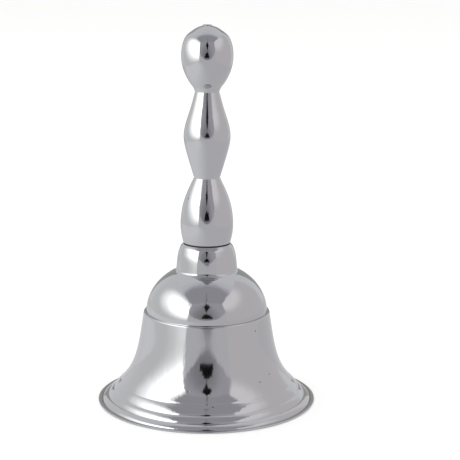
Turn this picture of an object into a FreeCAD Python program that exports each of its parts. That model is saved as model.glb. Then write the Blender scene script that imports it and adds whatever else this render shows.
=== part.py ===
import FreeCAD, Part
import math
import os

# A table hand bell: a stepped, flared shell, a turned handle of three sections
# on a tie rod, and a ball clapper that hangs from an eye by one link.
# Millimetres, +Z up. The origin is the middle of the lip, on the surface that
# the bell stands on. Every turned piece shares the Z axis.

# ---- Bell shell ----
mouth_r = 35.0          # outermost radius, at the nose of the lip
wall = 1.4              # shell thickness, square to its surface
waist_r = 20.2          # top of the skirt, at the step
step_z = 29.3           # height of the step between skirt and dome
step_w = 0.8            # how far the dome stands in from the skirt
dome_rise = 15.6        # height of the dome's ellipse above the step
skirt_steady = 0.49     # share of the skirt's growth in radius that is steady; the rest is flare
flare_power = 4.5       # how late and how sharply the skirt turns out to the lip
crown_rise = 6.5        # flat seat on top of the collar, above the dome's ellipse
crown_plate = 1.5       # thickness of that seat
collar_base_r = 9.75    # collar where it rises from the dome
collar_waist_r = 9.3    # collar where its shoulder begins, for the inside
collar_seat_r = 7.6     # edge of the flat seat
collar_shoulder_h = 4.0 # height that the rounded shoulder takes up
collar_round = ((8.35, 0.9), (8.8, 2.0), (9.12, 3.0), (9.45, 5.0), (9.65, 7.0))  # radius, depth below the seat
collar_inner_bulge = 0.375
crease_r = 0.6          # fillet between dome and collar
crease_hollow = 0.15    # how far that fillet hollows in from its chord

# Lip: three convex bands that step down and out, then a rounded nose.
lip_root = (7.65, 6.7)                           # inward of the mouth, height
lip_ridges = ((5.25, 4.05), (3.45, 2.2), (1.5, 0.8))
groove_drop = 0.3       # step down under each ridge
band_crown = 0.14       # how far each band stands out from its chord
nose_r = 0.4            # rounding of the lip's outer edge
foot_w = 0.8            # flat ring that the bell stands on
spans = 8               # points along a long smooth curve

# ---- Handle ----
gasket_r = 7.3
gasket_t = 0.5
base_r = 7.55           # handle where it meets the gasket
lower_belly_r = 8.4
lower_len = 20.7
lower_neck_r = 4.1
middle_belly_r = 7.35
middle_len = 27.1
upper_neck_r = 3.8
ball_belly_r = 8.1
ball_len = 20.4
spigot_r = 2.6          # register of each section in the one under it
spigot_h = 1.2
spigot_fit = 0.05       # clearance round and under a spigot

# Outlines between the ends: share of the length, share of the belly radius.
lower_shape = ((0.116, 0.964), (0.266, 1.0), (0.459, 0.964), (0.657, 0.851), (0.85, 0.661))
middle_shape = ((0.258, 0.844), (0.388, 0.962), (0.483, 1.0), (0.618, 0.93), (0.782, 0.741))
ball_shape = ((0.06, 0.532), (0.12, 0.642), (0.211, 0.783), (0.397, 0.959), (0.578, 1.0),
              (0.76, 0.919), (0.85, 0.799), (0.926, 0.572), (0.975, 0.37))

# ---- Tie rod and fasteners, M3 ----
rod_r = 1.5
rod_fit = 0.15          # clearance in every plain hole that the rod passes
rod_proud = 0.3         # rod end above the ball
rod_chamfer = 0.3
slot_w = 0.5
slot_d = 0.5
thread_depth = 8.0      # threaded length in the top of the ball
washer_r = 4.5
washer_t = 0.6
spring_r = 3.1
spring_t = 0.8
spring_gap = 0.5
spring_slant = 25       # degrees that the washer's split leans
nut_flats = 5.5
nut_h = 2.4
nut_face_in = 0.1       # round face left by the chamfer, inside the flats
nut_chamfer_slope = 30  # degrees

# ---- Clapper and its hanging ----
boss_r = 2.4            # threaded boss of the eye
boss_h = 3.6
boss_thread = 2.9       # depth of the boss's blind thread
eye_mid_r = 2.2
eye_wire_r = 0.7
eye_sink = 1.0          # depth that the ring runs into the boss
link_wire_r = 0.6
link_mid_r = 1.8        # middle radius of the link's two ends
link_pitch = 5.0        # middle of one end to the middle of the other
loop_mid_r = 2.0
loop_wire_r = 0.7
hang_fit = 0.15         # clearance where one wire hangs in another
stem_r = 0.9
shoulder_r = 1.5
shoulder_h = 1.0
clapper_r = 6.0
clapper_z = 9.2         # middle of the clapper ball
clapper_flat = 0.35     # flat under the ball for the riveted end
rivet_r = 1.5
rivet_h = 0.4

# ---- Heights that follow ----
crown_top_z = step_z + dome_rise + crown_rise
gasket_z = crown_top_z
lower_z = gasket_z + gasket_t
middle_z = lower_z + lower_len
ball_z = middle_z + middle_len
handle_top_z = ball_z + ball_len
crown_under_z = crown_top_z - crown_plate
washer_z = crown_under_z - washer_t
spring_z = washer_z - spring_t
nut_z = spring_z - nut_h
boss_z = nut_z - boss_h
eye_z = boss_z + eye_sink - eye_wire_r - eye_mid_r
hang_z = eye_z - eye_mid_r                                # axis of the link's swing
link_top_z = hang_z + eye_wire_r + link_wire_r + hang_fit
swing_z = link_top_z - link_pitch                         # axis of the clapper's swing
loop_z = swing_z + link_wire_r + loop_wire_r + hang_fit - loop_mid_r
clapper_top_z = clapper_z + math.sqrt(clapper_r ** 2 - shoulder_r ** 2)
clapper_flat_z = clapper_z - clapper_r + clapper_flat
rod_end_z = nut_z - boss_thread + hang_fit

X, Y, Z = FreeCAD.Vector(1, 0, 0), FreeCAD.Vector(0, 1, 0), FreeCAD.Vector(0, 0, 1)


def point(r, z):
    return FreeCAD.Vector(r, 0, z)


def line(a, b):
    return Part.LineSegment(point(*a), point(*b)).toShape()


def arc(a, middle, b):
    return Part.Arc(point(*a), point(*middle), point(*b)).toShape()


def curve(points):
    """One smooth curve through the points."""
    spline = Part.BSplineCurve()
    spline.interpolate([point(*p) for p in points])
    return spline.toShape()


def turned(edges):
    """The solid that a closed outline in the X-Z plane sweeps round the Z axis."""
    face = Part.Face(Part.Wire(Part.__sortEdges__(edges)))
    return face.revolve(FreeCAD.Vector(0, 0, 0), Z, 360)


def tube(outer_r, inner_r, z, height):
    at = FreeCAD.Vector(0, 0, z)
    return Part.makeCylinder(outer_r, height, at).cut(Part.makeCylinder(inner_r, height, at))


def inset(a, here, b, depth):
    """The point at that depth inside an outline that runs downwards from a to b past here."""
    dr, dz = b[0] - a[0], b[1] - a[1]
    length = math.hypot(dr, dz)
    return here[0] + dz * depth / length, here[1] - dr * depth / length


def bulged(a, b, height):
    """An arc from a down to b that stands out from its chord by that height."""
    middle = ((a[0] + b[0]) / 2, (a[1] + b[1]) / 2)
    return arc(a, inset(a, middle, b, -height), b)


def skirt_point(share, top_r, root):
    """A point of the skirt: a steady taper, and a flare that grows towards the lip."""
    grown = skirt_steady * share + (1 - skirt_steady) * share ** flare_power
    return top_r + (root[0] - top_r) * grown, step_z + (root[1] - step_z) * share


def dome_z(r, depth=0.0):
    """Height of the dome at radius r, at a depth inside its outer face."""
    half_width = waist_r - step_w - depth
    return step_z + (dome_rise - depth) * math.sqrt(1 - (r / half_width) ** 2)


def dome_points(end_r, depth=0.0):
    """The dome from the step up to radius end_r, at a depth inside its outer face."""
    half_width, rise = waist_r - step_w - depth, dome_rise - depth
    turns = [math.acos(end_r / half_width) * i / spans for i in range(spans + 1)]
    return [(half_width * math.cos(t), step_z + rise * math.sin(t)) for t in turns]


def bell_shell():
    root = (mouth_r - lip_root[0], lip_root[1])
    ridges = [(mouth_r - inward, z) for inward, z in lip_ridges]
    skirt = [skirt_point(i / spans, waist_r, root) for i in range(spans + 1)]
    groove = [(r + groove_drop / 2, z - groove_drop) for r, z in [root] + ridges]
    edges = [curve(skirt)]
    for above, start, ridge in zip([root] + ridges, groove, ridges):
        edges += [line(above, start), bulged(start, ridge, band_crown)]
    nose = (mouth_r, nose_r)
    foot_out = (mouth_r - nose_r, 0)
    diagonal = nose_r * math.sqrt(0.5)
    edges += [
        line(ridges[-1], groove[-1]),
        bulged(groove[-1], nose, band_crown),
        arc(nose, (foot_out[0] + diagonal, nose_r - diagonal), foot_out),
    ]

    # Dome, crease and collar, from the step up.
    crease_out = (collar_base_r + crease_r, dome_z(collar_base_r + crease_r))
    crease_in = (collar_base_r, dome_z(collar_base_r) + crease_r)
    seat = (collar_seat_r, crown_top_z)
    collar = [seat] + [(r, crown_top_z - depth) for r, depth in collar_round] + [crease_in]
    dome = dome_points(crease_out[0])
    edges += [
        line(skirt[0], dome[0]),
        curve(dome),
        bulged(crease_in, crease_out, -crease_hollow),
        curve(collar),
    ]

    # Inside: the same shape, one wall in, with the crown's hole for the tie rod.
    hole_r = rod_r + rod_fit
    inner = [(waist_r - step_w - wall, step_z)]
    for before, here, after in zip(skirt[2:], skirt[3:], skirt[4:] + ridges[:1]):
        inner.append(inset(before, here, after, wall))
    for before, here, after in zip([root] + ridges, ridges, ridges[1:]):
        inner.append(inset(before, here, after, wall))
    foot_in = (foot_out[0] - foot_w, 0)
    inner.append(foot_in)
    inner_base = (collar_base_r - wall, dome_z(collar_base_r - wall, wall))
    inner_shoulder = (collar_waist_r - wall, crown_top_z - collar_shoulder_h)
    inner_seat = (collar_seat_r - wall, crown_under_z)
    edges += [
        line(foot_out, foot_in),
        curve(inner),
        curve(dome_points(inner_base[0], wall)),
        line(inner_base, inner_shoulder),
        bulged(inner_seat, inner_shoulder, collar_inner_bulge),
        line(inner_seat, (hole_r, crown_under_z)),
        line((hole_r, crown_under_z), (hole_r, crown_top_z)),
        line((hole_r, crown_top_z), seat),
    ]
    return turned(edges)


def section(z, length, start_r, belly_r, end_r, shape):
    """A solid handle section whose outline runs from start_r up to end_r."""
    points = [(start_r, z)]
    points += [(belly_r * r, z + length * share) for share, r in shape]
    points += [(end_r, z + length)]
    foot, head = (0, z), (0, z + length)
    return turned([curve(points), line(foot, points[0]), line(points[-1], head), line(head, foot)])


def bored(shape, z, length, r=rod_r + rod_fit):
    return shape.cut(Part.makeCylinder(r, length, FreeCAD.Vector(0, 0, z)))


def with_spigot(shape, z):
    return shape.fuse(Part.makeCylinder(spigot_r, spigot_h, FreeCAD.Vector(0, 0, z - spigot_h)))


def with_socket(shape, top_z):
    depth = spigot_h + spigot_fit
    at = FreeCAD.Vector(0, 0, top_z - depth)
    return shape.cut(Part.makeCylinder(spigot_r + spigot_fit, depth, at))


def handle_lower_section():
    body = section(lower_z, lower_len, base_r, lower_belly_r, lower_neck_r, lower_shape)
    return bored(with_socket(body, middle_z), lower_z, lower_len)


def handle_middle_section():
    body = section(middle_z, middle_len, lower_neck_r, middle_belly_r, upper_neck_r, middle_shape)
    body = with_socket(with_spigot(body, middle_z), ball_z)
    return bored(body, middle_z - spigot_h, middle_len + spigot_h)


def handle_ball():
    body = section(ball_z, ball_len, upper_neck_r, ball_belly_r, rod_r, ball_shape)
    body = bored(with_spigot(body, ball_z), ball_z - spigot_h, ball_len + spigot_h - thread_depth)
    return bored(body, handle_top_z - thread_depth, thread_depth, rod_r)


def tie_rod():
    top_z = handle_top_z + rod_proud
    tip_r = rod_r - rod_chamfer
    rod = Part.makeCylinder(rod_r, top_z - rod_chamfer - rod_end_z, FreeCAD.Vector(0, 0, rod_end_z))
    at = FreeCAD.Vector(0, 0, top_z - rod_chamfer)
    rod = rod.fuse(Part.makeCone(rod_r, tip_r, rod_chamfer, at)).removeSplitter()
    corner = FreeCAD.Vector(-rod_r, -slot_w / 2, top_z - slot_d)
    return rod.cut(Part.makeBox(2 * rod_r, slot_w, slot_d, corner))


def spring_washer():
    ring = tube(spring_r, rod_r + rod_fit, spring_z, spring_t)
    gap = Part.makeBox(spring_r, spring_gap, 3 * spring_t, FreeCAD.Vector(0, -spring_gap / 2, -spring_t))
    gap.rotate(FreeCAD.Vector(0, 0, 0), X, spring_slant)
    gap.translate(FreeCAD.Vector(0, 0, spring_z))
    return ring.cut(gap)


def clamp_nut():
    corner_r = nut_flats / math.sqrt(3)
    turns = [math.radians(60 * i) for i in range(7)]
    corners = [FreeCAD.Vector(corner_r * math.cos(t), corner_r * math.sin(t), nut_z) for t in turns]
    nut = Part.Face(Part.makePolygon(corners)).extrude(Z * nut_h)
    # The chamfer at both ends takes the corners down to a little under the flats.
    low, high = nut_z, nut_z + nut_h
    face_r = nut_flats / 2 - nut_face_in
    side_r = corner_r + nut_face_in
    cone_h = (side_r - face_r) * math.tan(math.radians(nut_chamfer_slope))
    outline = [(0, low), (face_r, low), (side_r, low + cone_h), (side_r, high - cone_h), (face_r, high), (0, high)]
    edges = [line(a, b) for a, b in zip(outline, outline[1:] + outline[:1])]
    return bored(nut.common(turned(edges)), nut_z, nut_h, rod_r)


def ring(mid_r, wire_r, z, across):
    """A wire ring round the horizontal axis across, with its middle at height z."""
    return Part.makeTorus(mid_r, wire_r, FreeCAD.Vector(0, 0, z), across)


def clapper_eye():
    boss = Part.makeCylinder(boss_r, boss_h, FreeCAD.Vector(0, 0, boss_z))
    boss = boss.fuse(ring(eye_mid_r, eye_wire_r, eye_z, X))
    return bored(boss, nut_z - boss_thread, boss_thread, rod_r)


def hanger_link():
    upper_z = link_top_z - link_mid_r
    lower_mid_z = swing_z + link_mid_r
    bends = []
    for z, turn in ((upper_z, -180), (lower_mid_z, 180)):
        disc = Part.Face(Part.Wire(Part.makeCircle(link_wire_r, FreeCAD.Vector(link_mid_r, 0, z), Z)))
        bends.append(disc.revolve(FreeCAD.Vector(0, 0, z), Y, turn))
    sides = [FreeCAD.Vector(side * link_mid_r, 0, lower_mid_z) for side in (-1, 1)]
    sides = [Part.makeCylinder(link_wire_r, upper_z - lower_mid_z, at) for at in sides]
    return bends[0].fuse([bends[1]] + sides).removeSplitter()


def clapper_stem():
    loop = ring(loop_mid_r, loop_wire_r, loop_z, X)
    top_z = loop_z - loop_mid_r
    stem = Part.makeCylinder(stem_r, top_z - clapper_flat_z, FreeCAD.Vector(0, 0, clapper_flat_z))
    shoulder = Part.makeCylinder(shoulder_r, shoulder_h, FreeCAD.Vector(0, 0, clapper_top_z))
    rivet = Part.makeCone(rivet_r - rivet_h / 2, rivet_r, rivet_h,
                          FreeCAD.Vector(0, 0, clapper_flat_z - rivet_h))
    return loop.fuse([stem, shoulder, rivet]).removeSplitter()


def clapper_ball():
    ball = Part.makeSphere(clapper_r, FreeCAD.Vector(0, 0, clapper_z))
    across = 2 * clapper_r
    for z in (clapper_top_z, clapper_flat_z - across):
        ball = ball.cut(Part.makeBox(across, across, across, FreeCAD.Vector(-clapper_r, -clapper_r, z)))
    return bored(ball, clapper_flat_z, across, stem_r)


nodes = {
    "bell_shell": bell_shell(),
    "crown_gasket": tube(gasket_r, rod_r + rod_fit, gasket_z, gasket_t),
    "handle_lower_section": handle_lower_section(),
    "handle_middle_section": handle_middle_section(),
    "handle_ball": handle_ball(),
    "tie_rod": tie_rod(),
    "flat_washer": tube(washer_r, rod_r + rod_fit, washer_z, washer_t),
    "spring_washer": spring_washer(),
    "clamp_nut": clamp_nut(),
    "clapper_eye": clapper_eye(),
    "hanger_link": hanger_link(),
    "clapper_stem": clapper_stem(),
    "clapper_ball": clapper_ball(),
}

os.makedirs("parts", exist_ok=True)
for name, shape in nodes.items():
    shape.exportStep("parts/" + name + ".step")
    print(name, "solids", len(shape.Solids), "valid", shape.isValid(), "mm3", round(shape.Volume, 1))
print("link swings about Y at z", round(hang_z, 3), "clapper swings about X at z", round(swing_z, 3))
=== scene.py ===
import math

import bpy
import numpy as np
from bpy.props import FloatProperty, FloatVectorProperty, IntProperty, PointerProperty
from mathutils import Euler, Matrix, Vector


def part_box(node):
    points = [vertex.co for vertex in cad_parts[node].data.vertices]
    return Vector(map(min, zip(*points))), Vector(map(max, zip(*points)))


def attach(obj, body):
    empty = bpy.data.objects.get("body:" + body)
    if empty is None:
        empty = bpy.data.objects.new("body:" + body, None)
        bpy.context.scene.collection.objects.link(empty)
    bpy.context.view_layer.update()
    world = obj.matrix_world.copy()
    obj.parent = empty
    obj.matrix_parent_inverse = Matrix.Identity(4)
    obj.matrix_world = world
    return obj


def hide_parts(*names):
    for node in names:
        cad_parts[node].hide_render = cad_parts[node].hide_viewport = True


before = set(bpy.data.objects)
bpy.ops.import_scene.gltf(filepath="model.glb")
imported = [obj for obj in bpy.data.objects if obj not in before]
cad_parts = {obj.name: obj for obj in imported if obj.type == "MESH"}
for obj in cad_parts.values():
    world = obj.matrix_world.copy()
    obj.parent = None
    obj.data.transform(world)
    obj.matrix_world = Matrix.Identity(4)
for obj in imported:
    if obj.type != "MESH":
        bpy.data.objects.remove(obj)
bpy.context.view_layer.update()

bl_info = {
    "name": "Table hand bell",
    "version": (1, 0, 0),
    "blender": (4, 5, 0),
    "location": "3D View > Sidebar > Hand bell",
    "description": "Builds a plated hand bell, its turned handle and its clapper round the CAD frame",
    "category": "Object",
}

MM = 0.001


# ---------------------------------------------------------------- sizes and colours

def size(name, description, mm):
    """A length property with its default in millimetres."""
    return FloatProperty(name=name, description=description, default=mm * MM,
                         subtype="DISTANCE", unit="LENGTH", precision=5)


def colour(name, description, hexa):
    """A colour property with its default as an sRGB hex colour."""
    return FloatVectorProperty(name=name, description=description, default=linear(hexa)[:3],
                               subtype="COLOR", size=3, min=0.0, max=1.0)


def linear(hexa):
    """An sRGB hex colour such as "C8C9CB" as linear RGBA."""
    parts = [int(hexa[i:i + 2], 16) / 255 for i in (0, 2, 4)]
    return tuple(c / 12.92 if c <= 0.04045 else ((c + 0.055) / 1.055) ** 2.4 for c in parts) + (1.0,)


def top(node):
    """Height of the top of a CAD node, in millimetres."""
    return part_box(node)[1].z / MM


def foot(node):
    """Height of the underside of a CAD node, in millimetres."""
    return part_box(node)[0].z / MM


def radius(node):
    """Outer radius of a turned CAD node, in millimetres."""
    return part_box(node)[1].x / MM


class ShellSizes(bpy.types.PropertyGroup):
    mouth_r: size("Mouth radius", "Outermost radius, at the nose of the lip", radius("bell_shell"))
    crown_top: size("Crown height", "Flat seat on top of the collar", top("bell_shell"))
    wall: size("Wall", "Shell thickness", 1.4)
    waist_r: size("Waist radius", "Top of the skirt, at the step", 20.2)
    step_z: size("Step height", "Step between skirt and dome", 29.3)
    step_w: size("Step width", "How far the dome stands in from the skirt", 0.8)
    step_edge: size("Step edge", "Rounding of the step's outer edge", 0.4)
    dome_rise: size("Dome rise", "Height of the dome's ellipse", 15.6)
    collar_base_r: size("Collar base", "Collar where it rises from the dome", 9.75)
    collar_waist_r: size("Collar waist", "Collar where its shoulder begins", 9.3)
    collar_seat_r: size("Collar seat", "Edge of the flat seat", 7.6)
    collar_shoulder: size("Collar shoulder", "Height of the rounded shoulder", 4.0)
    crown_plate: size("Crown plate", "Thickness of the seat", 1.5)
    crease_r: size("Crease", "Fillet between dome and collar", 0.6)
    nose_r: size("Nose", "Rounding of the lip's outer edge", 0.4)
    foot_w: size("Foot", "Flat ring that the bell stands on", 0.8)
    groove: size("Groove", "Step down under each lip ridge", 0.3)
    bore_r: size("Crown hole", "Hole for the tie rod", 1.65)


class HandleSizes(bpy.types.PropertyGroup):
    base_r: size("Base radius", "Handle where it meets the gasket", 7.55)
    lower_belly_r: size("Lower belly", "Widest radius of the lower section", 8.4)
    middle_belly_r: size("Middle belly", "Widest radius of the middle section", 7.35)
    ball_belly_r: size("Ball belly", "Widest radius of the ball", 8.1)
    lower_neck_r: size("Lower neck", "Neck between lower and middle section", 4.1)
    upper_neck_r: size("Upper neck", "Neck between middle section and ball", 3.8)
    spigot_r: size("Spigot radius", "Register of each section in the one under it", 2.6)
    spigot_h: size("Spigot height", "Height of that register", 1.2)
    rod_r: size("Rod radius", "Tie rod", 1.5)
    bore_r: size("Bore radius", "Bore of the sections round the rod", 1.65)
    edge: size("Broken edge", "Rounding of turned edges", 0.12)


class ClapperSizes(bpy.types.PropertyGroup):
    ball_r: size("Ball radius", "Clapper ball", radius("clapper_ball"))
    stem_r: size("Stem radius", "Wire of the stem", 0.9)
    shoulder_r: size("Shoulder radius", "Collar over the ball, and the riveted end", 1.5)
    loop_r: size("Loop radius", "Middle radius of the stem's loop", 2.0)
    loop_wire_r: size("Loop wire", "Wire radius of the loop", 0.7)
    link_r: size("Link radius", "Middle radius of the link's ends", 1.8)
    link_wire_r: size("Link wire", "Wire radius of the link", 0.6)
    eye_r: size("Eye radius", "Middle radius of the eye", 2.2)
    eye_wire_r: size("Eye wire", "Wire radius of the eye", 0.7)
    boss_r: size("Boss radius", "Threaded boss of the eye", 2.4)
    boss_h: size("Boss height", "Height of that boss", 3.6)
    boss_bore: size("Boss bore", "Depth of the threaded hole in that boss", 2.9)


class FinishColours(bpy.types.PropertyGroup):
    chrome: colour("Chrome", "Bright plate over polished brass", "C3C4C6")
    nickel: colour("Nickel", "Dull plate inside the shell", "B4AFA6")
    brass: colour("Brass", "Brass where the plate has worn through", "C9A45C")
    fibre: colour("Fibre", "Black fibre washer", "17171A")
    steel: colour("Steel", "Bright drawn steel", "B9BABD")
    zinc: colour("Zinc", "Bright zinc plate", "B7BDC6")
    floor: colour("Floor", "Pale table top", "FBFBFA")


class StudioSettings(bpy.types.PropertyGroup):
    key: FloatProperty(name="Key wall", description="Peak radiance of the tent's left wall", default=3.0)
    fill: FloatProperty(name="Fill wall", description="Peak radiance of the tent's right wall", default=0.97)
    room: FloatProperty(name="Room", description="Radiance of the tent's roof and back", default=0.8)
    table: FloatProperty(name="Table", description="Radiance of the table inside the tent", default=0.69)
    opening: FloatProperty(name="Opening", description="Radiance of the tent's open front", default=0.32)
    lens: FloatProperty(name="Lens", description="Focal length in millimetres", default=109.3)
    turned_steps: IntProperty(name="Turned steps", description="Sides of a turned piece", default=192)


class HandBellSettings(bpy.types.PropertyGroup):
    shell: PointerProperty(type=ShellSizes, name="Shell", description="Sizes of the shell")
    handle: PointerProperty(type=HandleSizes, name="Handle", description="Sizes of the handle")
    clapper: PointerProperty(type=ClapperSizes, name="Clapper", description="Sizes of the clapper")
    finish: PointerProperty(type=FinishColours, name="Finish", description="Colours of the finishes")
    studio: PointerProperty(type=StudioSettings, name="Studio", description="Light and camera")


def settings():
    return bpy.context.scene.hand_bell


# ---------------------------------------------------------------- outlines, as (radius, height)

def inset(a, here, b, depth):
    """The point at that depth to the inner side of a line that runs from a to b past here."""
    dr, dz = b[0] - a[0], b[1] - a[1]
    length = math.hypot(dr, dz)
    return here[0] + dz * depth / length, here[1] - dr * depth / length


def bulged(a, b, height, count=8):
    """Points of the arc from a to b that stands out from its chord by that height, without a."""
    middle = ((a[0] + b[0]) / 2, (a[1] + b[1]) / 2)
    crown = inset(a, middle, b, -height)
    chord = math.dist(a, b)
    r = (chord ** 2 / 4 + height ** 2) / (2 * abs(height))
    centre = inset(a, crown, b, math.copysign(r, height))
    start = math.atan2(a[1] - centre[1], a[0] - centre[0])
    sweep = math.atan2(b[1] - centre[1], b[0] - centre[0]) - start
    sweep = (sweep + math.pi) % (2 * math.pi) - math.pi
    turns = [start + sweep * i / count for i in range(1, count + 1)]
    return [(centre[0] + r * math.cos(t), centre[1] + r * math.sin(t)) for t in turns]


def smooth_through(points, count=10):
    """A smooth curve through the points, with the bend changing steadily, without the first point."""
    p = np.array(points)
    t = np.concatenate([[0], np.cumsum(np.linalg.norm(np.diff(p, axis=0), axis=1))])
    h = np.diff(t)
    n = len(p)
    matrix, right = np.eye(n), np.zeros((n, 2))
    for i in range(1, n - 1):
        matrix[i, i - 1:i + 2] = h[i - 1], 2 * (h[i - 1] + h[i]), h[i]
        right[i] = 6 * ((p[i + 1] - p[i]) / h[i] - (p[i] - p[i - 1]) / h[i - 1])
    bend = np.linalg.solve(matrix, right)
    found = []
    for i in range(n - 1):
        for k in range(1, count + 1):
            b = k / count
            a = 1 - b
            curve = ((a ** 3 - a) * bend[i] + (b ** 3 - b) * bend[i + 1]) * h[i] ** 2 / 6
            found.append(tuple(a * p[i] + b * p[i + 1] + curve))
    return found


def broken(outline, corners, edge):
    """The outline with the corners of those numbers rounded by edge."""
    found = []
    for i, here in enumerate(outline):
        if i not in corners:
            found.append(here)
            continue
        before, after = outline[i - 1], outline[(i + 1) % len(outline)]
        a = tuple(np.array(here) + edge * np.subtract(before, here) / math.dist(before, here))
        b = tuple(np.array(here) + edge * np.subtract(after, here) / math.dist(after, here))
        found.append(a)
        for k in range(1, 4):
            u = k / 4
            shares = (1 - u) ** 2, 2 * u * (1 - u), u ** 2
            found.append(tuple(sum(share * np.array(point) for share, point in zip(shares, (a, here, b)))))
        found.append(b)
    return found


# ---------------------------------------------------------------- modelling

def deselect():
    if bpy.context.object and bpy.context.object.mode != "OBJECT":
        bpy.ops.object.mode_set(mode="OBJECT")
    bpy.ops.object.select_all(action="DESELECT")


def started(name):
    """The primitive that was just added, named, with its place in its mesh."""
    piece = bpy.context.object
    piece.name = piece.data.name = name
    bpy.ops.object.transform_apply(location=True, rotation=True, scale=True)
    return piece


def turned(name, outline, steps=None, solid=False):
    """An outline of (radius, height) turned about Z as on a lathe: closed, or from pole to pole if solid."""
    deselect()
    r, z = outline[0]
    bpy.ops.mesh.primitive_plane_add(size=MM, location=(r, 0, z))
    piece = started(name)
    bpy.ops.object.mode_set(mode="EDIT")
    bpy.ops.mesh.select_all(action="SELECT")
    bpy.ops.mesh.merge(type="CENTER")
    for a, b in zip(outline, outline[1:] if solid else outline[1:] + outline[:1]):
        step = (b[0] - a[0], 0, b[1] - a[1])
        bpy.ops.mesh.extrude_region_move(TRANSFORM_OT_translate={"value": step})
    bpy.ops.mesh.select_all(action="SELECT")
    bpy.ops.mesh.remove_doubles(threshold=1e-7)
    steps = steps or settings().studio.turned_steps
    bpy.ops.mesh.spin(steps=steps, angle=2 * math.pi, center=(0, 0, 0), axis=(0, 0, 1))
    bpy.ops.mesh.select_all(action="SELECT")
    bpy.ops.mesh.remove_doubles(threshold=1e-7)
    bpy.ops.mesh.normals_make_consistent(inside=False)
    bpy.ops.object.mode_set(mode="OBJECT")
    return piece


def cut(piece, tool, operation="DIFFERENCE"):
    """Cuts the piece with a tool body, or joins the two, and removes the tool."""
    deselect()
    modifier = piece.modifiers.new("cut", "BOOLEAN")
    modifier.operation = operation
    modifier.solver = "EXACT"
    modifier.object = tool
    bpy.context.view_layer.objects.active = piece
    bpy.ops.object.modifier_apply(modifier=modifier.name)
    bpy.data.objects.remove(tool)
    return piece


def block(name, low, high):
    """A cutting tool: a box from its low to its high corner."""
    deselect()
    centre = [(a + b) / 2 for a, b in zip(low, high)]
    bpy.ops.mesh.primitive_cube_add(size=1, location=centre)
    bpy.context.object.scale = [b - a for a, b in zip(low, high)]
    return started(name)


def wire_ring(name, middle_r, wire_r, z, rotation):
    """A ring of round wire, centred on the axis at that height."""
    deselect()
    bpy.ops.mesh.primitive_torus_add(location=(0, 0, z), rotation=rotation, major_segments=96,
                                     minor_segments=32, major_radius=middle_r, minor_radius=wire_r)
    return started(name)


def cast_smooth(piece, voxel, rounds):
    """Remeshes a joined piece so that its parts run into each other as in a casting or forging."""
    deselect()
    bpy.context.view_layer.objects.active = piece
    piece.select_set(True)
    remesh = piece.modifiers.new("cast", "REMESH")
    remesh.mode = "VOXEL"
    remesh.voxel_size = voxel
    bpy.ops.object.modifier_apply(modifier=remesh.name)
    smooth = piece.modifiers.new("smooth", "SMOOTH")
    smooth.factor = 0.5
    smooth.iterations = rounds
    bpy.ops.object.modifier_apply(modifier=smooth.name)
    return piece


def finished(piece, body, material, slot, *nodes, crease=32):
    """Smooths the shading, gives the finish and ties the piece to its CAD body and nodes."""
    deselect()
    bpy.context.view_layer.objects.active = piece
    piece.select_set(True)
    bpy.ops.object.shade_smooth_by_angle(angle=math.radians(crease))
    piece.data.materials.append(material)
    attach(piece, body)
    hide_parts(*nodes)
    return piece


# ---------------------------------------------------------------- materials

def add(tree, kind, options=None, values=None, links=None):
    """Adds a node, sets its options and sockets, and links its inputs."""
    node = tree.nodes.new(kind)
    for key, value in (options or {}).items():
        setattr(node, key, value)
    for key, value in (values or {}).items():
        node.inputs[key].default_value = value
    for key, socket in (links or {}).items():
        tree.links.new(socket, node.inputs[key])
    return node


def blank(name):
    """A material with only its output node, and that node's tree."""
    found = bpy.data.materials.get(name)
    if found:
        return found, None, None
    material = bpy.data.materials.new(name)
    material.use_nodes = True
    material.node_tree.nodes.clear()
    tree = material.node_tree
    return material, tree, add(tree, "ShaderNodeOutputMaterial")


def object_point(tree, repeats):
    """Object coordinates stretched so that a pattern has that many repeats for each millimetre."""
    place = add(tree, "ShaderNodeTexCoord")
    scale = tuple(r / MM for r in repeats)
    at = add(tree, "ShaderNodeMapping", values={"Scale": scale}, links={"Vector": place.outputs["Object"]})
    return at.outputs["Vector"]


def noise(tree, repeats, detail, roughness):
    """Noise with its own repeats for each millimetre along x, y and z."""
    return add(tree, "ShaderNodeTexNoise", values={"Scale": 1.0, "Detail": detail, "Roughness": roughness},
               links={"Vector": object_point(tree, repeats)}).outputs["Fac"]


def ramp(tree, socket, low, high, dark, light):
    """Maps a factor between low and high onto dark to light."""
    return add(tree, "ShaderNodeMapRange", {"clamp": True},
               {"From Min": low, "From Max": high, "To Min": dark, "To Max": light},
               {"Value": socket}).outputs["Result"]


def raised(tree, factor, by, base):
    """The base value with a share of a factor added to it."""
    return add(tree, "ShaderNodeMath", {"operation": "MULTIPLY_ADD"}, {1: by},
               {0: factor, 2: base}).outputs["Value"]


def mixed(tree, factor, first, second):
    """One colour where the factor is 0, running to the other where it is 1."""
    return add(tree, "ShaderNodeMix", {"data_type": "RGBA"}, {6: first, 7: second}, {0: factor}).outputs[2]


def bumped(tree, height, strength, relief, normal=None, invert=False):
    """A normal bent by a height pattern of that relief in millimetres, over another bump if one is given."""
    links = {"Height": height}
    if normal:
        links["Normal"] = normal
    return add(tree, "ShaderNodeBump", {"invert": invert}, {"Strength": strength, "Distance": relief * MM},
               links).outputs["Normal"]


def shade(tree, output, tone, rough, normal, metallic=1.0):
    """Ends a material in its shader."""
    shader = add(tree, "ShaderNodeBsdfPrincipled", values={"Metallic": metallic},
                 links={"Base Color": tone, "Roughness": rough, "Normal": normal})
    tree.links.new(shader.outputs["BSDF"], output.inputs["Surface"])


def rgba(tint):
    """A colour property as linear RGBA."""
    return tuple(tint) + (1.0,)


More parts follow.
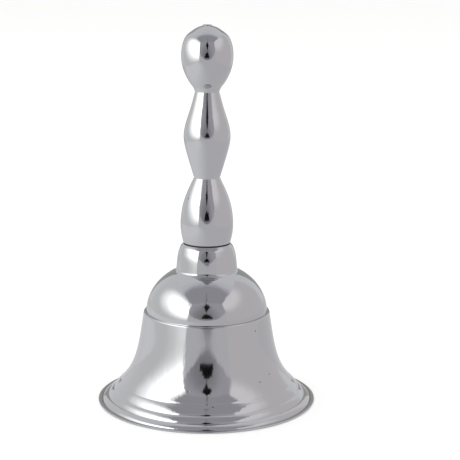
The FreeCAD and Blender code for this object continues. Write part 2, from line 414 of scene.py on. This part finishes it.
def chromed_brass():
    """Bright chrome on hand-buffed brass: a mirror whose image wavers a little where the buffing wheel
    ran up and down, with a faint haze, hairline scratches and a few pits in the plate."""
    material, tree, output = blank("chromed_brass_mirror_buffed")
    if tree is None:
        return material
    # Waver of the buffed metal under the plate: about 9 mm across, longer up and down.
    waver = noise(tree, (0.11, 0.11, 0.03), 2.0, 0.45)
    # Draws left by the wheel: 2 mm apart round the body and 30 mm long, which comb the reflections' edges.
    draws = noise(tree, (0.5, 0.5, 0.033), 2.0, 0.5)
    # Buffing streaks, 0.4 mm apart round the body and long up and down.
    streaks = noise(tree, (2.4, 2.4, 0.05), 4.0, 0.6)
    # Pits in the plate, well under 0.5 mm and scattered: only a cell in many has one.
    pits = add(tree, "ShaderNodeTexVoronoi", {"feature": "F1"}, {"Scale": 1.0, "Randomness": 1.0},
               {"Vector": object_point(tree, (0.16, 0.16, 0.16))})
    pit = ramp(tree, pits.outputs["Distance"], 0.028, 0.05, 1.0, 0.0)
    # Hairline scratches from polishing cloths, cut short where their own pattern is low.
    hair = ramp(tree, noise(tree, (0.5, 0.5, 6.0), 6.0, 0.7), 0.60, 0.72, 0.0, 1.0)
    # Haze from handling, in soft patches 15 mm across.
    haze = noise(tree, (0.065, 0.065, 0.065), 3.0, 0.55)

    rough = ramp(tree, haze, 0.35, 0.75, 0.035, 0.085)
    for factor, by in ((streaks, 0.05), (hair, 0.05), (pit, 0.4)):
        rough = raised(tree, factor, by, rough)
    tone = mixed(tree, pit, rgba(settings().finish.chrome), linear("55524F"))
    normal = bumped(tree, waver, 1.0, 0.12)
    normal = bumped(tree, draws, 1.0, 0.035, normal)
    normal = bumped(tree, streaks, 0.8, 0.006, normal)
    normal = bumped(tree, pit, 0.6, 0.05, normal, invert=True)
    shade(tree, output, tone, rough, normal)
    return material


def spun_nickel():
    """Dull nickel on spun brass inside the shell: rings left by the spinning tool, soft reflections,
    and a brown tarnish in patches that polish never reaches."""
    material, tree, output = blank("dull_nickel_on_spun_brass")
    if tree is None:
        return material
    place = add(tree, "ShaderNodeTexCoord")
    rings = add(tree, "ShaderNodeTexWave", {"wave_type": "BANDS", "bands_direction": "Z"},
                {"Scale": 0.35 / MM, "Distortion": 0.8, "Detail": 2.0, "Detail Scale": 0.1},
                {"Vector": place.outputs["Object"]})
    patches = noise(tree, (0.09, 0.09, 0.09), 6.0, 0.6)
    tarnish = ramp(tree, patches, 0.48, 0.76, 0.0, 0.55)
    tone = mixed(tree, tarnish, rgba(settings().finish.nickel), linear("7C6A52"))
    rough = ramp(tree, patches, 0.3, 0.8, 0.24, 0.46)
    shade(tree, output, tone, rough, bumped(tree, rings.outputs["Fac"], 0.8, 0.03))
    return material


def metal(name, tint, worn, rough_low, rough_high, grain, relief):
    """A small metal part: its plate colour with wear in patches, roughness that varies with them,
    and the marks of how it was made as a grain with its own repeats for each millimetre."""
    material, tree, output = blank(name)
    if tree is None:
        return material
    marks = noise(tree, grain, 5.0, 0.6)
    wear = ramp(tree, noise(tree, (0.35, 0.35, 0.35), 5.0, 0.65), 0.52, 0.68, 0.0, 0.8)
    rough = ramp(tree, marks, 0.3, 0.7, rough_low, rough_high)
    shade(tree, output, mixed(tree, wear, rgba(tint), worn), rough, bumped(tree, marks, 0.6, relief))
    return material


def drawn_steel():
    """Bright drawn steel: fine lines along the rod from the die."""
    return metal("bright_drawn_steel", settings().finish.steel, linear("8E8A84"),
                 0.14, 0.28, (6.0, 6.0, 0.3), 0.01)


def zinc_plate():
    """Bright zinc on stamped and cold-headed steel: bluish, with a faint yellow where it has aged."""
    return metal("bright_zinc_plated_steel", settings().finish.zinc, linear("A79F80"),
                 0.2, 0.38, (2.5, 2.5, 2.5), 0.012)


def nickel_wire():
    """Nickel-plated steel wire: smooth, with drawing lines and rub marks where wires hang on each other."""
    return metal("nickel_plated_wire", settings().finish.steel, linear("9A917F"),
                 0.12, 0.26, (3.0, 3.0, 1.0), 0.006)


def struck_brass():
    """Nickel-plated turned brass of the clapper: turning marks, with yellow brass where the plate is struck
    or rubbed through."""
    finish = settings().finish
    return metal("nickel_plated_turned_brass", finish.nickel, rgba(finish.brass),
                 0.14, 0.32, (0.4, 0.4, 5.0), 0.012)


def vulcanised_fibre():
    """Black vulcanised fibre: matt, with short fibres pressed flat, some of them slightly greyer."""
    material, tree, output = blank("black_vulcanised_fibre")
    if tree is None:
        return material
    fibres = noise(tree, (3.0, 3.0, 12.0), 6.0, 0.7)
    shown = ramp(tree, fibres, 0.3, 0.75, 0.0, 1.0)
    tone = mixed(tree, shown, rgba(settings().finish.fibre), linear("2B2A2C"))
    rough = ramp(tree, fibres, 0.3, 0.75, 0.55, 0.8)
    shade(tree, output, tone, rough, bumped(tree, fibres, 0.7, 0.03), metallic=0.0)
    return material


def matt_table_top():
    """A pale matt table top: even, with a roughness that drifts slowly so that it isn't a flat tone."""
    material, tree, output = blank("pale_matt_table_top")
    if tree is None:
        return material
    rough = ramp(tree, noise(tree, (0.04, 0.04, 0.04), 3.0, 0.5), 0.3, 0.7, 0.75, 0.85)
    shader = add(tree, "ShaderNodeBsdfPrincipled", values={"Base Color": rgba(settings().finish.floor)},
                 links={"Roughness": rough})
    tree.links.new(shader.outputs["BSDF"], output.inputs["Surface"])
    return material


# ---------------------------------------------------------------- the pieces

LIP_ROOT = (7.65 * MM, 6.7 * MM)           # inward of the mouth, height
LIP_RIDGES = ((5.25 * MM, 4.05 * MM), (3.45 * MM, 2.2 * MM), (1.5 * MM, 0.8 * MM))
SKIRT_STEADY = 0.49                        # share of the skirt's growth that is steady; the rest is flare
FLARE_POWER = 4.5                          # how late and how sharply the skirt turns out
COLLAR_ROUND = ((8.35, 0.9), (8.8, 2.0), (9.12, 3.0), (9.45, 5.0), (9.65, 7.0))  # mm: radius, below the seat
BAND_CROWN = 0.14 * MM                     # how far each lip band stands out from its chord


def lip_points(s):
    """The root of the lip, where the skirt ends, and the outer ridge of each band."""
    root = (s.mouth_r - LIP_ROOT[0], LIP_ROOT[1])
    return root, [(s.mouth_r - inward, z) for inward, z in LIP_RIDGES]


def skirt_line(s, count):
    """The skirt from the step down to the lip: a steady taper and a flare that grows."""
    root = lip_points(s)[0]
    shares = [i / count for i in range(count + 1)]
    grown = [SKIRT_STEADY * k + (1 - SKIRT_STEADY) * k ** FLARE_POWER for k in shares]
    return [(s.waist_r + (root[0] - s.waist_r) * g, s.step_z + (root[1] - s.step_z) * k)
            for k, g in zip(shares, grown)]


def dome_line(s, depth, end_r, count=24):
    """The dome's ellipse at a depth inside the outer face, from the step up to radius end_r."""
    wide, high = s.waist_r - s.step_w - depth, s.dome_rise - depth
    turns = [math.acos(end_r / wide) * i / count for i in range(count + 1)]
    return [(wide * math.cos(t), s.step_z + high * math.sin(t)) for t in turns]


def shell_outline(s):
    """The whole section of the shell, from the step down round the lip, up the inside and over the crown."""
    root, ridges = lip_points(s)
    outer = skirt_line(s, 48)
    for above, ridge in zip([root] + ridges, ridges):
        start = (above[0] + s.groove / 2, above[1] - s.groove)
        outer += [start] + bulged(start, ridge, BAND_CROWN, 10)
    start = (ridges[-1][0] + s.groove / 2, ridges[-1][1] - s.groove)
    nose, foot_out = (s.mouth_r, s.nose_r), (s.mouth_r - s.nose_r, 0)
    outer += [start] + bulged(start, nose, BAND_CROWN, 8)
    outer += bulged(nose, foot_out, s.nose_r * (1 - math.sqrt(0.5)), 8)

    # Up the inside: one wall in from the skirt, then the inner dome and the collar's bore.
    skirt = skirt_line(s, 8)
    steps = skirt[2:] + ridges
    inner = [inset(a, here, b, s.wall) for a, here, b in zip(steps, steps[1:], steps[2:])]
    foot_in = (foot_out[0] - s.foot_w, 0)
    wall_points = [foot_in] + inner[::-1] + [(s.waist_r - s.step_w - s.wall, s.step_z)]
    inside = [foot_in] + smooth_through(wall_points, 8)
    base = dome_line(s, s.wall, s.collar_base_r - s.wall)
    shoulder = (s.collar_waist_r - s.wall, s.crown_top - s.collar_shoulder)
    under = s.crown_top - s.crown_plate
    inside += base[1:] + [shoulder]
    inside += bulged(shoulder, (s.collar_seat_r - s.wall, under), s.crown_plate / 4 * -1, 8)
    inside += [(s.bore_r, under), (s.bore_r, s.crown_top)]

    # Over the seat and down the collar's shoulder, crease and dome to the step.
    seat = (s.collar_seat_r, s.crown_top)
    dome = dome_line(s, 0, s.collar_base_r + s.crease_r, 40)
    crease_in = (s.collar_base_r, dome_line(s, 0, s.collar_base_r)[-1][1] + s.crease_r)
    collar = [seat] + [(r * MM, s.crown_top - depth * MM) for r, depth in COLLAR_ROUND] + [crease_in]
    crown = [seat] + smooth_through(collar, 8) + bulged(crease_in, dome[-1], -s.crease_r / 4, 6)
    crown += dome[-2::-1]

    # The ledge at the step runs over a rounded edge into the skirt.
    r = s.step_edge
    edge_in, edge_out = (s.waist_r - r, s.step_z), (s.waist_r + 0.15 * r, s.step_z - r)
    edge = bulged(edge_in, edge_out, r * (1 - math.sqrt(0.5)), 8)
    return [edge_in] + edge + [point for point in outer if point[1] < edge_out[1]] + inside + crown


class BELL_OT_shell(bpy.types.Operator):
    """Turn the shell: dome, step, flared skirt and the stepped lip, with a duller inside"""
    bl_idname = "hand_bell.shell"
    bl_label = "Shell"

    def execute(self, context):
        s = settings().shell
        outline = shell_outline(s)
        piece = turned("shell_plated", outline)
        finished(piece, "bell", chromed_brass(), "chrome_plate", "bell_shell", crease=28)
        piece.data.materials.append(spun_nickel())
        for face in piece.data.polygons:
            out = Vector((face.center.x, face.center.y, 0)).normalized()
            under_crown = face.normal.z < -0.5 and face.center.z > s.step_z
            if face.normal.dot(out) < -0.05 or under_crown:
                face.material_index = 1
        return {"FINISHED"}


# Bulge of each handle section: (share of its height, share of its belly radius).
LOWER_SHAPE = ((0.116, 0.964), (0.266, 1.0), (0.459, 0.964), (0.657, 0.851), (0.85, 0.661))
MIDDLE_SHAPE = ((0.258, 0.844), (0.388, 0.962), (0.483, 1.0), (0.618, 0.93), (0.782, 0.741))
BALL_SHAPE = ((0.06, 0.532), (0.12, 0.642), (0.211, 0.783), (0.397, 0.959), (0.578, 1.0),
              (0.76, 0.919), (0.85, 0.799), (0.926, 0.572), (0.975, 0.37))
SPIGOT_FIT = 0.05 * MM                     # play round and under each spigot
ROD_GAP = 0.02 * MM                        # between the ball's top edge and the rod


def section_outline(low, high, start_r, belly_r, end_r, shape, spigot, socket):
    """The outline of one handle section: its bulge, then its socket, bore and spigot."""
    h = settings().handle
    bulge = [(belly_r * r, low + (high - low) * k) for k, r in shape]
    outline = [(start_r, low)] + smooth_through([(start_r, low)] + bulge + [(end_r, high)], 10)
    if socket:
        socket_r, deep = h.spigot_r + SPIGOT_FIT, high - h.spigot_h - SPIGOT_FIT
        outline += [(socket_r, high), (socket_r, deep), (h.bore_r, deep)]
        bore = h.bore_r
    else:
        outline[-1] = (h.rod_r + ROD_GAP, high)
        bore = h.rod_r
    bottom = low - (h.spigot_h if spigot else 0)
    outline += [(bore, bottom)]
    if spigot:
        outline += [(h.spigot_r, bottom), (h.spigot_r, low)]
    return outline


class BELL_OT_handle(bpy.types.Operator):
    """Turn the three sections of the handle, each with its register and bore"""
    bl_idname = "hand_bell.handle"
    bl_label = "Handle sections"

    def execute(self, context):
        h = settings().handle
        radii = (h.base_r, h.lower_neck_r, h.upper_neck_r, h.rod_r)
        sections = (
            ("handle_lower", "handle_lower_section", h.lower_belly_r, LOWER_SHAPE, False, True),
            ("handle_middle", "handle_middle_section", h.middle_belly_r, MIDDLE_SHAPE, True, True),
            ("handle_top_ball", "handle_ball", h.ball_belly_r, BALL_SHAPE, True, False),
        )
        low = foot("handle_lower_section") * MM
        for (name, node, belly_r, shape, spigot, socket), start_r, end_r in zip(sections, radii, radii[1:]):
            high = top(node) * MM
            outline = section_outline(low, high, start_r, belly_r, end_r, shape, spigot, socket)
            finished(turned(name, outline), "bell", chromed_brass(), "chrome_plate", node)
            low = high
        return {"FINISHED"}


class BELL_OT_tie_rod(bpy.types.Operator):
    """Turn the tie rod and saw the slot in its end"""
    bl_idname = "hand_bell.tie_rod"
    bl_label = "Tie rod"

    def execute(self, context):
        h = settings().handle
        low, high = foot("tie_rod") * MM, top("tie_rod") * MM
        tip, edge = 0.3 * MM, 0.05 * MM
        outline = [(0, low), (h.rod_r - edge, low), (h.rod_r, low + edge), (h.rod_r, high - tip),
                   (h.rod_r - 0.2 * tip, high - 0.5 * tip), (h.rod_r - 0.6 * tip, high - 0.15 * tip),
                   (h.rod_r - 1.2 * tip, high), (0, high)]
        rod = turned("tie_rod_slotted", outline, steps=96, solid=True)
        past, half_slot, deep = 2 * h.rod_r, 0.25 * MM, 0.5 * MM
        cut(rod, block("slot_saw", (-past, -half_slot, high - deep), (past, half_slot, high + MM)))
        finished(rod, "bell", drawn_steel(), "rod_steel", "tie_rod")
        return {"FINISHED"}


def ring_outline(outer_r, inner_r, low, high, edge):
    """The section of a flat ring with its edges broken."""
    corners = [(inner_r, low), (outer_r, low), (outer_r, high), (inner_r, high)]
    return broken(corners, (0, 1, 2, 3), edge)


class BELL_OT_gasket(bpy.types.Operator):
    """Punch the fibre gasket between shell and handle"""
    bl_idname = "hand_bell.gasket"
    bl_label = "Crown gasket"

    def execute(self, context):
        h = settings().handle
        low, high = foot("crown_gasket") * MM, top("crown_gasket") * MM
        outline = ring_outline(radius("crown_gasket") * MM, h.bore_r, low, high, 0.08 * MM)
        piece = turned("gasket_fibre", outline, steps=128)
        finished(piece, "bell", vulcanised_fibre(), "black_fibre", "crown_gasket")
        return {"FINISHED"}


class BELL_OT_fasteners(bpy.types.Operator):
    """Make the flat washer, the split spring washer and the hexagon nut"""
    bl_idname = "hand_bell.fasteners"
    bl_label = "Washers and nut"

    def execute(self, context):
        h = settings().handle
        low, high = foot("flat_washer") * MM, top("flat_washer") * MM
        outline = ring_outline(radius("flat_washer") * MM, h.bore_r, low, high, 0.12 * MM)
        finished(turned("washer_flat", outline, steps=96), "bell", zinc_plate(), "zinc_steel", "flat_washer")

        low, high = foot("spring_washer") * MM, top("spring_washer") * MM
        outer_r = -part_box("spring_washer")[0].x
        outline = ring_outline(outer_r, h.bore_r, low, high, 0.1 * MM)
        spring = turned("washer_spring", outline, steps=96)
        deselect()
        bpy.ops.mesh.primitive_cube_add(size=1, location=(outer_r / 2 + 0.5 * MM, 0, (low + high) / 2),
                                        rotation=(math.radians(25), 0, 0))
        bpy.context.object.scale = (outer_r, 0.5 * MM, 4 * (high - low))
        cut(spring, started("split_saw"))
        finished(spring, "bell", zinc_plate(), "zinc_steel", "spring_washer")

        low, high = foot("clamp_nut") * MM, top("clamp_nut") * MM
        corner_r = radius("clamp_nut") * MM
        flat_r = corner_r * math.cos(math.radians(30))
        deselect()
        bpy.ops.mesh.primitive_cylinder_add(vertices=6, radius=corner_r, depth=high - low,
                                            location=(0, 0, (low + high) / 2),
                                            rotation=(0, 0, math.radians(30)))
        nut = started("nut_hexagon")
        face_r, past_r = flat_r * 0.96, corner_r * 1.01
        rise = (corner_r - face_r) * math.tan(math.radians(30))
        sides = [(h.rod_r, low), (face_r, low), (corner_r, low + rise), (past_r, low + rise * 1.1),
                 (past_r, high - rise * 1.1), (corner_r, high - rise), (face_r, high), (h.rod_r, high)]
        cut(nut, turned("nut_lathe", sides, steps=96), "INTERSECT")
        finished(nut, "bell", zinc_plate(), "zinc_steel", "clamp_nut", crease=20)
        return {"FINISHED"}


class BELL_OT_eye(bpy.types.Operator):
    """Cast the eye: a threaded boss that runs into a ring"""
    bl_idname = "hand_bell.eye"
    bl_label = "Clapper eye"

    def execute(self, context):
        c, h = settings().clapper, settings().handle
        low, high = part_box("clapper_eye")
        boss_z = high.z - c.boss_h
        foot_z, edge, bore_z = boss_z + 0.05 * MM, 0.25 * MM, high.z - c.boss_bore
        sides = [(0, foot_z), (c.boss_r - edge, foot_z), (c.boss_r, foot_z + edge), (c.boss_r, high.z - edge),
                 (c.boss_r - edge, high.z), (h.rod_r, high.z), (h.rod_r, bore_z), (0, bore_z)]
        eye = turned("eye_cast", sides, steps=96, solid=True)
        ring_z = low.z + c.eye_wire_r + c.eye_r
        cut(eye, wire_ring("eye_ring", c.eye_r, c.eye_wire_r, ring_z, (0, math.radians(90), 0)), "UNION")
        cast_smooth(eye, 0.07 * MM, 4)
        finished(eye, "bell", struck_brass(), "nickel_brass", "clapper_eye", crease=60)
        return {"FINISHED"}


class BELL_OT_link(bpy.types.Operator):
    """Bend the wire link, with the butt where its ends meet"""
    bl_idname = "hand_bell.link"
    bl_label = "Hanger link"

    def execute(self, context):
        c = settings().clapper
        low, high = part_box("hanger_link")
        half = (high.z - low.z) / 2 - c.link_r - c.link_wire_r
        middle = (high.z + low.z) / 2
        link = wire_ring("link_wire", c.link_r, c.link_wire_r, middle, (math.radians(90), 0, 0))
        bpy.ops.object.mode_set(mode="EDIT")
        bpy.ops.mesh.select_all(action="SELECT")
        bpy.ops.mesh.bisect(plane_co=(0, 0, middle), plane_no=(0, 0, 1))
        bpy.ops.object.mode_set(mode="OBJECT")
        for vertex in link.data.vertices:
            if vertex.co.z > middle + 1e-7:
                vertex.co.z += half
            elif vertex.co.z < middle - 1e-7:
                vertex.co.z -= half
        gap = 0.03 * MM
        x = c.link_r + c.link_wire_r * 1.3
        cut(link, block("link_saw", (c.link_r - c.link_wire_r * 1.3, -x, middle - gap), (x, x, middle + gap)))
        finished(link, "link", nickel_wire(), "link_steel", "hanger_link")
        return {"FINISHED"}


class BELL_OT_clapper(bpy.types.Operator):
    """Forge the clapper's stem with its loop, and turn the ball that is riveted on it"""
    bl_idname = "hand_bell.clapper"
    bl_label = "Clapper"

    def execute(self, context):
        c = settings().clapper
        low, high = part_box("clapper_stem")
        ball_low, ball_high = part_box("clapper_ball")
        loop_z = high.z - c.loop_wire_r - c.loop_r
        neck_z = loop_z - c.loop_r + 0.3 * MM
        rivet_top, shoulder_top = ball_low.z, ball_high.z + 1.0 * MM
        sides = [(0, low.z), (c.shoulder_r * 0.72, low.z), (c.shoulder_r, low.z + 0.25 * MM),
                 (c.shoulder_r, rivet_top), (c.stem_r, rivet_top), (c.stem_r, ball_high.z),
                 (c.shoulder_r, ball_high.z), (c.shoulder_r, shoulder_top - 0.3 * MM),
                 (c.shoulder_r * 0.8, shoulder_top), (c.stem_r, shoulder_top),
                 (c.stem_r, neck_z), (0, neck_z)]
        stem = turned("clapper_stem_forged", sides, steps=96, solid=True)
        cut(stem, wire_ring("stem_loop", c.loop_r, c.loop_wire_r, loop_z, (0, math.radians(90), 0)), "UNION")
        cast_smooth(stem, 0.08 * MM, 2)
        finished(stem, "clapper", nickel_wire(), "link_steel", "clapper_stem", crease=50)

        middle_z = ball_low.z + c.ball_r - 0.35 * MM
        flat_turn = math.asin((middle_z - ball_low.z) / c.ball_r)
        top_turn = math.asin((ball_high.z - middle_z) / c.ball_r)
        turns = [-flat_turn + (flat_turn + top_turn) * i / 64 for i in range(65)]
        outline = [(c.ball_r * math.cos(t), middle_z + c.ball_r * math.sin(t)) for t in turns]
        outline += [(c.stem_r, ball_high.z), (c.stem_r, ball_low.z)]
        ball = turned("clapper_ball_turned", outline, steps=128)
        finished(ball, "clapper", struck_brass(), "nickel_brass", "clapper_ball")
        return {"FINISHED"}


# ---------------------------------------------------------------- studio

def glowing(name, hexa, centre, spread, peak, edge, reach=(0.55, 1.2)):
    """A cloth lit from behind: brightest round a centre and fading over an ellipsoid of that spread."""
    material, tree, output = blank(name)
    if tree is None:
        return material
    place = add(tree, "ShaderNodeTexCoord").outputs["Object"]
    here = add(tree, "ShaderNodeVectorMath", {"operation": "SUBTRACT"}, {1: centre}, {0: place})
    scaled = add(tree, "ShaderNodeVectorMath", {"operation": "DIVIDE"}, {1: spread},
                 {0: here.outputs["Vector"]})
    far = add(tree, "ShaderNodeVectorMath", {"operation": "LENGTH"}, links={0: scaled.outputs["Vector"]})
    light = ramp(tree, far.outputs["Value"], *reach, peak, edge)
    light.node.interpolation_type = "SMOOTHSTEP"
    glow = add(tree, "ShaderNodeEmission", values={"Color": linear(hexa)}, links={"Strength": light})
    tree.links.new(glow.outputs["Emission"], output.inputs["Surface"])
    return material


def even(name, radiance):
    """A cloth of one brightness all over."""
    return glowing(name, "FFFFFF", (0, 0, 0), (1, 1, 1), radiance, radiance)


def card(name, low, high, material, sides=None):
    """A flat card between two corners, or a disc of so many sides in their rectangle, that only
    reflections see."""
    deselect()
    span = [b - a for a, b in zip(low, high)]
    flat = span.index(min(span))
    turn = ((0, math.radians(90), 0), (math.radians(90), 0, 0), (0, 0, 0))[flat]
    across = ((span[2], span[1]), (span[0], span[2]), (span[0], span[1]))[flat]
    middle = [(a + b) / 2 for a, b in zip(low, high)]
    if sides:
        bpy.ops.mesh.primitive_circle_add(vertices=sides, radius=0.5, fill_type="NGON",
                                          location=middle, rotation=turn)
    else:
        bpy.ops.mesh.primitive_plane_add(size=1, location=middle, rotation=turn)
    bpy.context.object.scale = (*across, 1)
    piece = started(name)
    piece.data.materials.append(material)
    piece.visible_camera = piece.visible_diffuse = piece.visible_shadow = False


# The light tent, in metres: half its width, its depth to the open front, and its height.
TENT_X, TENT_Y, TENT_Z = 0.30, 0.41, 0.47
SLIT_END = -0.15                           # how far back the gap in the roof reaches
# What stands black in the open front: half its width, its low and high edge, and its sides if it
# isn't a rectangle.
BLACK_SHAPES = (
    ("camera_body", 0.074, 0.066, 0.105, None),
    ("camera_prism", 0.056, 0.105, 0.14, None),
    ("camera_hood", 0.03, 0.14, 0.16, None),
    ("tent_slit", 0.004, 0.16, TENT_Z, None),
    ("tent_parting", 0.052, 0.19, 0.46, 4),
)
# The camera, in metres and degrees.
CAMERA_AT = (0, -0.4349, 0.1479)
CAMERA_PITCH, CAMERA_YAW, CAMERA_ROLL = 11.98, 0.97, 0.34


def pitch_tent(st):
    """The tent's table, walls, open front, roof and back, with what stands dark in its front."""
    x, y, z = TENT_X, TENT_Y, TENT_Z
    # The table as the metal sees it glows: a painted pool of light towards the left wall, fading to its
    # edges, also used for the tent's front. The pale floor itself is hidden from reflections.
    table = glowing("table_in_tent", "FDFCFF", (-0.28, -0.05, 0), (0.26, 0.3, 1), st.table * 1.35, st.table)
    left = glowing("lit_wall_left", "FFFFFF", (-x, -0.36, 0.23), (1, 0.5, 0.21),
                   st.key, st.table * 1.15, (0.3, 1.2))
    right = glowing("lit_wall_right", "FFFAFC", (x, -0.2, 0.42), (1, 0.3, 0.25), st.fill, st.table * 1.05)
    opening = glowing("dim_opening", "FBF7FF", (-0.04, -y, 0.07), (0.3, 1, 0.45),
                      st.opening, st.opening * 1.6, (0.2, 0.9))
    over = glowing("dim_over_front", "F9F7FF", (0, -y, z), (0.5, 0.45, 1),
                   st.opening * 1.4, st.room, (0.8, 1.1))
    card("tent_table", (-x, -y, -0.0004), (x, 0.5, -0.0002), table)
    card("tent_left", (-x, -y, 0), (-x, 0.3, z), left)
    card("tent_right", (x, -y, 0), (x, 0.3, z), right)
    card("tent_front", (-x, -y, 0), (x, -y, z), table)
    card("tent_opening", (-0.32, -y + 0.003, 0.034), (0.32, -y + 0.003, 0.62), opening, 64)
    card("tent_roof", (-x, -y, z), (x, 0.1, z), over)
    card("tent_back", (-0.2, 0.4, 0), (0.2, 0.4, 0.4), even("dim_back", st.opening * 1.3))
    black = even("camera_black", 0.004)
    for name, half, low, high, sides in BLACK_SHAPES:
        stands = -y + (0.008 if sides else 0.006)
        card(name, (-half, stands, low), (half, stands, high), black, sides)
    card("roof_slit", (-0.003, -y, z - 0.004), (0.003, SLIT_END, z - 0.004), black)


class BELL_OT_studio(bpy.types.Operator):
    """Set the camera, the pale floor and the light tent that the metal reflects"""
    bl_idname = "hand_bell.studio"
    bl_label = "Studio"

    def execute(self, context):
        st = settings().studio
        scene = context.scene
        scene.view_settings.view_transform = "Standard"

        data = bpy.data.cameras.new("studio_camera")
        camera = bpy.data.objects.new("studio_camera", data)
        scene.collection.objects.link(camera)
        data.lens, data.sensor_width = st.lens, 36.0
        data.clip_start, data.clip_end = 0.01, 20.0
        camera.location = CAMERA_AT
        pitch, yaw, roll = (math.radians(a) for a in (CAMERA_PITCH, CAMERA_YAW, CAMERA_ROLL))
        aim = Euler((math.radians(90) - pitch, 0, -yaw)).to_matrix() @ Euler((0, 0, roll)).to_matrix()
        camera.rotation_euler = aim.to_euler()
        scene.camera = camera

        deselect()
        bpy.ops.mesh.primitive_plane_add(size=12, location=(0, 0, 0))
        floor = started("floor")
        floor.data.materials.append(matt_table_top())
        floor.visible_glossy = False
        pitch_tent(st)

        overhead = bpy.data.objects.new("overhead", bpy.data.lights.new("overhead", "AREA"))
        overhead.data.shape, overhead.data.size, overhead.data.energy = "SQUARE", 1.4, 3.0
        overhead.location = (-0.15, 0.1, 1.3)
        overhead.visible_glossy = False
        scene.collection.objects.link(overhead)

        # The metal sees a grey room; everything else is lit by an even white one.
        world = bpy.data.worlds.new("room")
        scene.world = world
        world.use_nodes = True
        tree = world.node_tree
        ray = add(tree, "ShaderNodeLightPath")
        white, grey = (1.03, 1.03, 1.03, 1.0), (st.room, st.room, st.room * 1.03, 1.0)
        tone = mixed(tree, ray.outputs["Is Glossy Ray"], white, grey)
        tree.links.new(tone, tree.nodes["Background"].inputs["Color"])
        return {"FINISHED"}


OPERATORS = (BELL_OT_studio, BELL_OT_shell, BELL_OT_handle, BELL_OT_tie_rod, BELL_OT_gasket,
             BELL_OT_fasteners, BELL_OT_eye, BELL_OT_link, BELL_OT_clapper)


class BELL_PT_panel(bpy.types.Panel):
    """Lists what the add-on can make"""
    bl_label = "Hand bell"
    bl_idname = "BELL_PT_panel"
    bl_space_type = "VIEW_3D"
    bl_region_type = "UI"
    bl_category = "Hand bell"

    def draw(self, context):
        for operator in OPERATORS:
            self.layout.operator(operator.bl_idname)


CLASSES = (ShellSizes, HandleSizes, ClapperSizes, FinishColours, StudioSettings, HandBellSettings,
           *OPERATORS, BELL_PT_panel)


def register():
    for each in CLASSES:
        bpy.utils.register_class(each)
    bpy.types.Scene.hand_bell = PointerProperty(type=HandBellSettings)


def unregister():
    del bpy.types.Scene.hand_bell
    for each in reversed(CLASSES):
        bpy.utils.unregister_class(each)


def main():
    register()
    bpy.ops.hand_bell.studio()
    bpy.ops.hand_bell.shell()
    bpy.ops.hand_bell.handle()
    bpy.ops.hand_bell.tie_rod()
    bpy.ops.hand_bell.gasket()
    bpy.ops.hand_bell.fasteners()
    bpy.ops.hand_bell.eye()
    bpy.ops.hand_bell.link()
    bpy.ops.hand_bell.clapper()


if __name__ == "__main__":
    main()
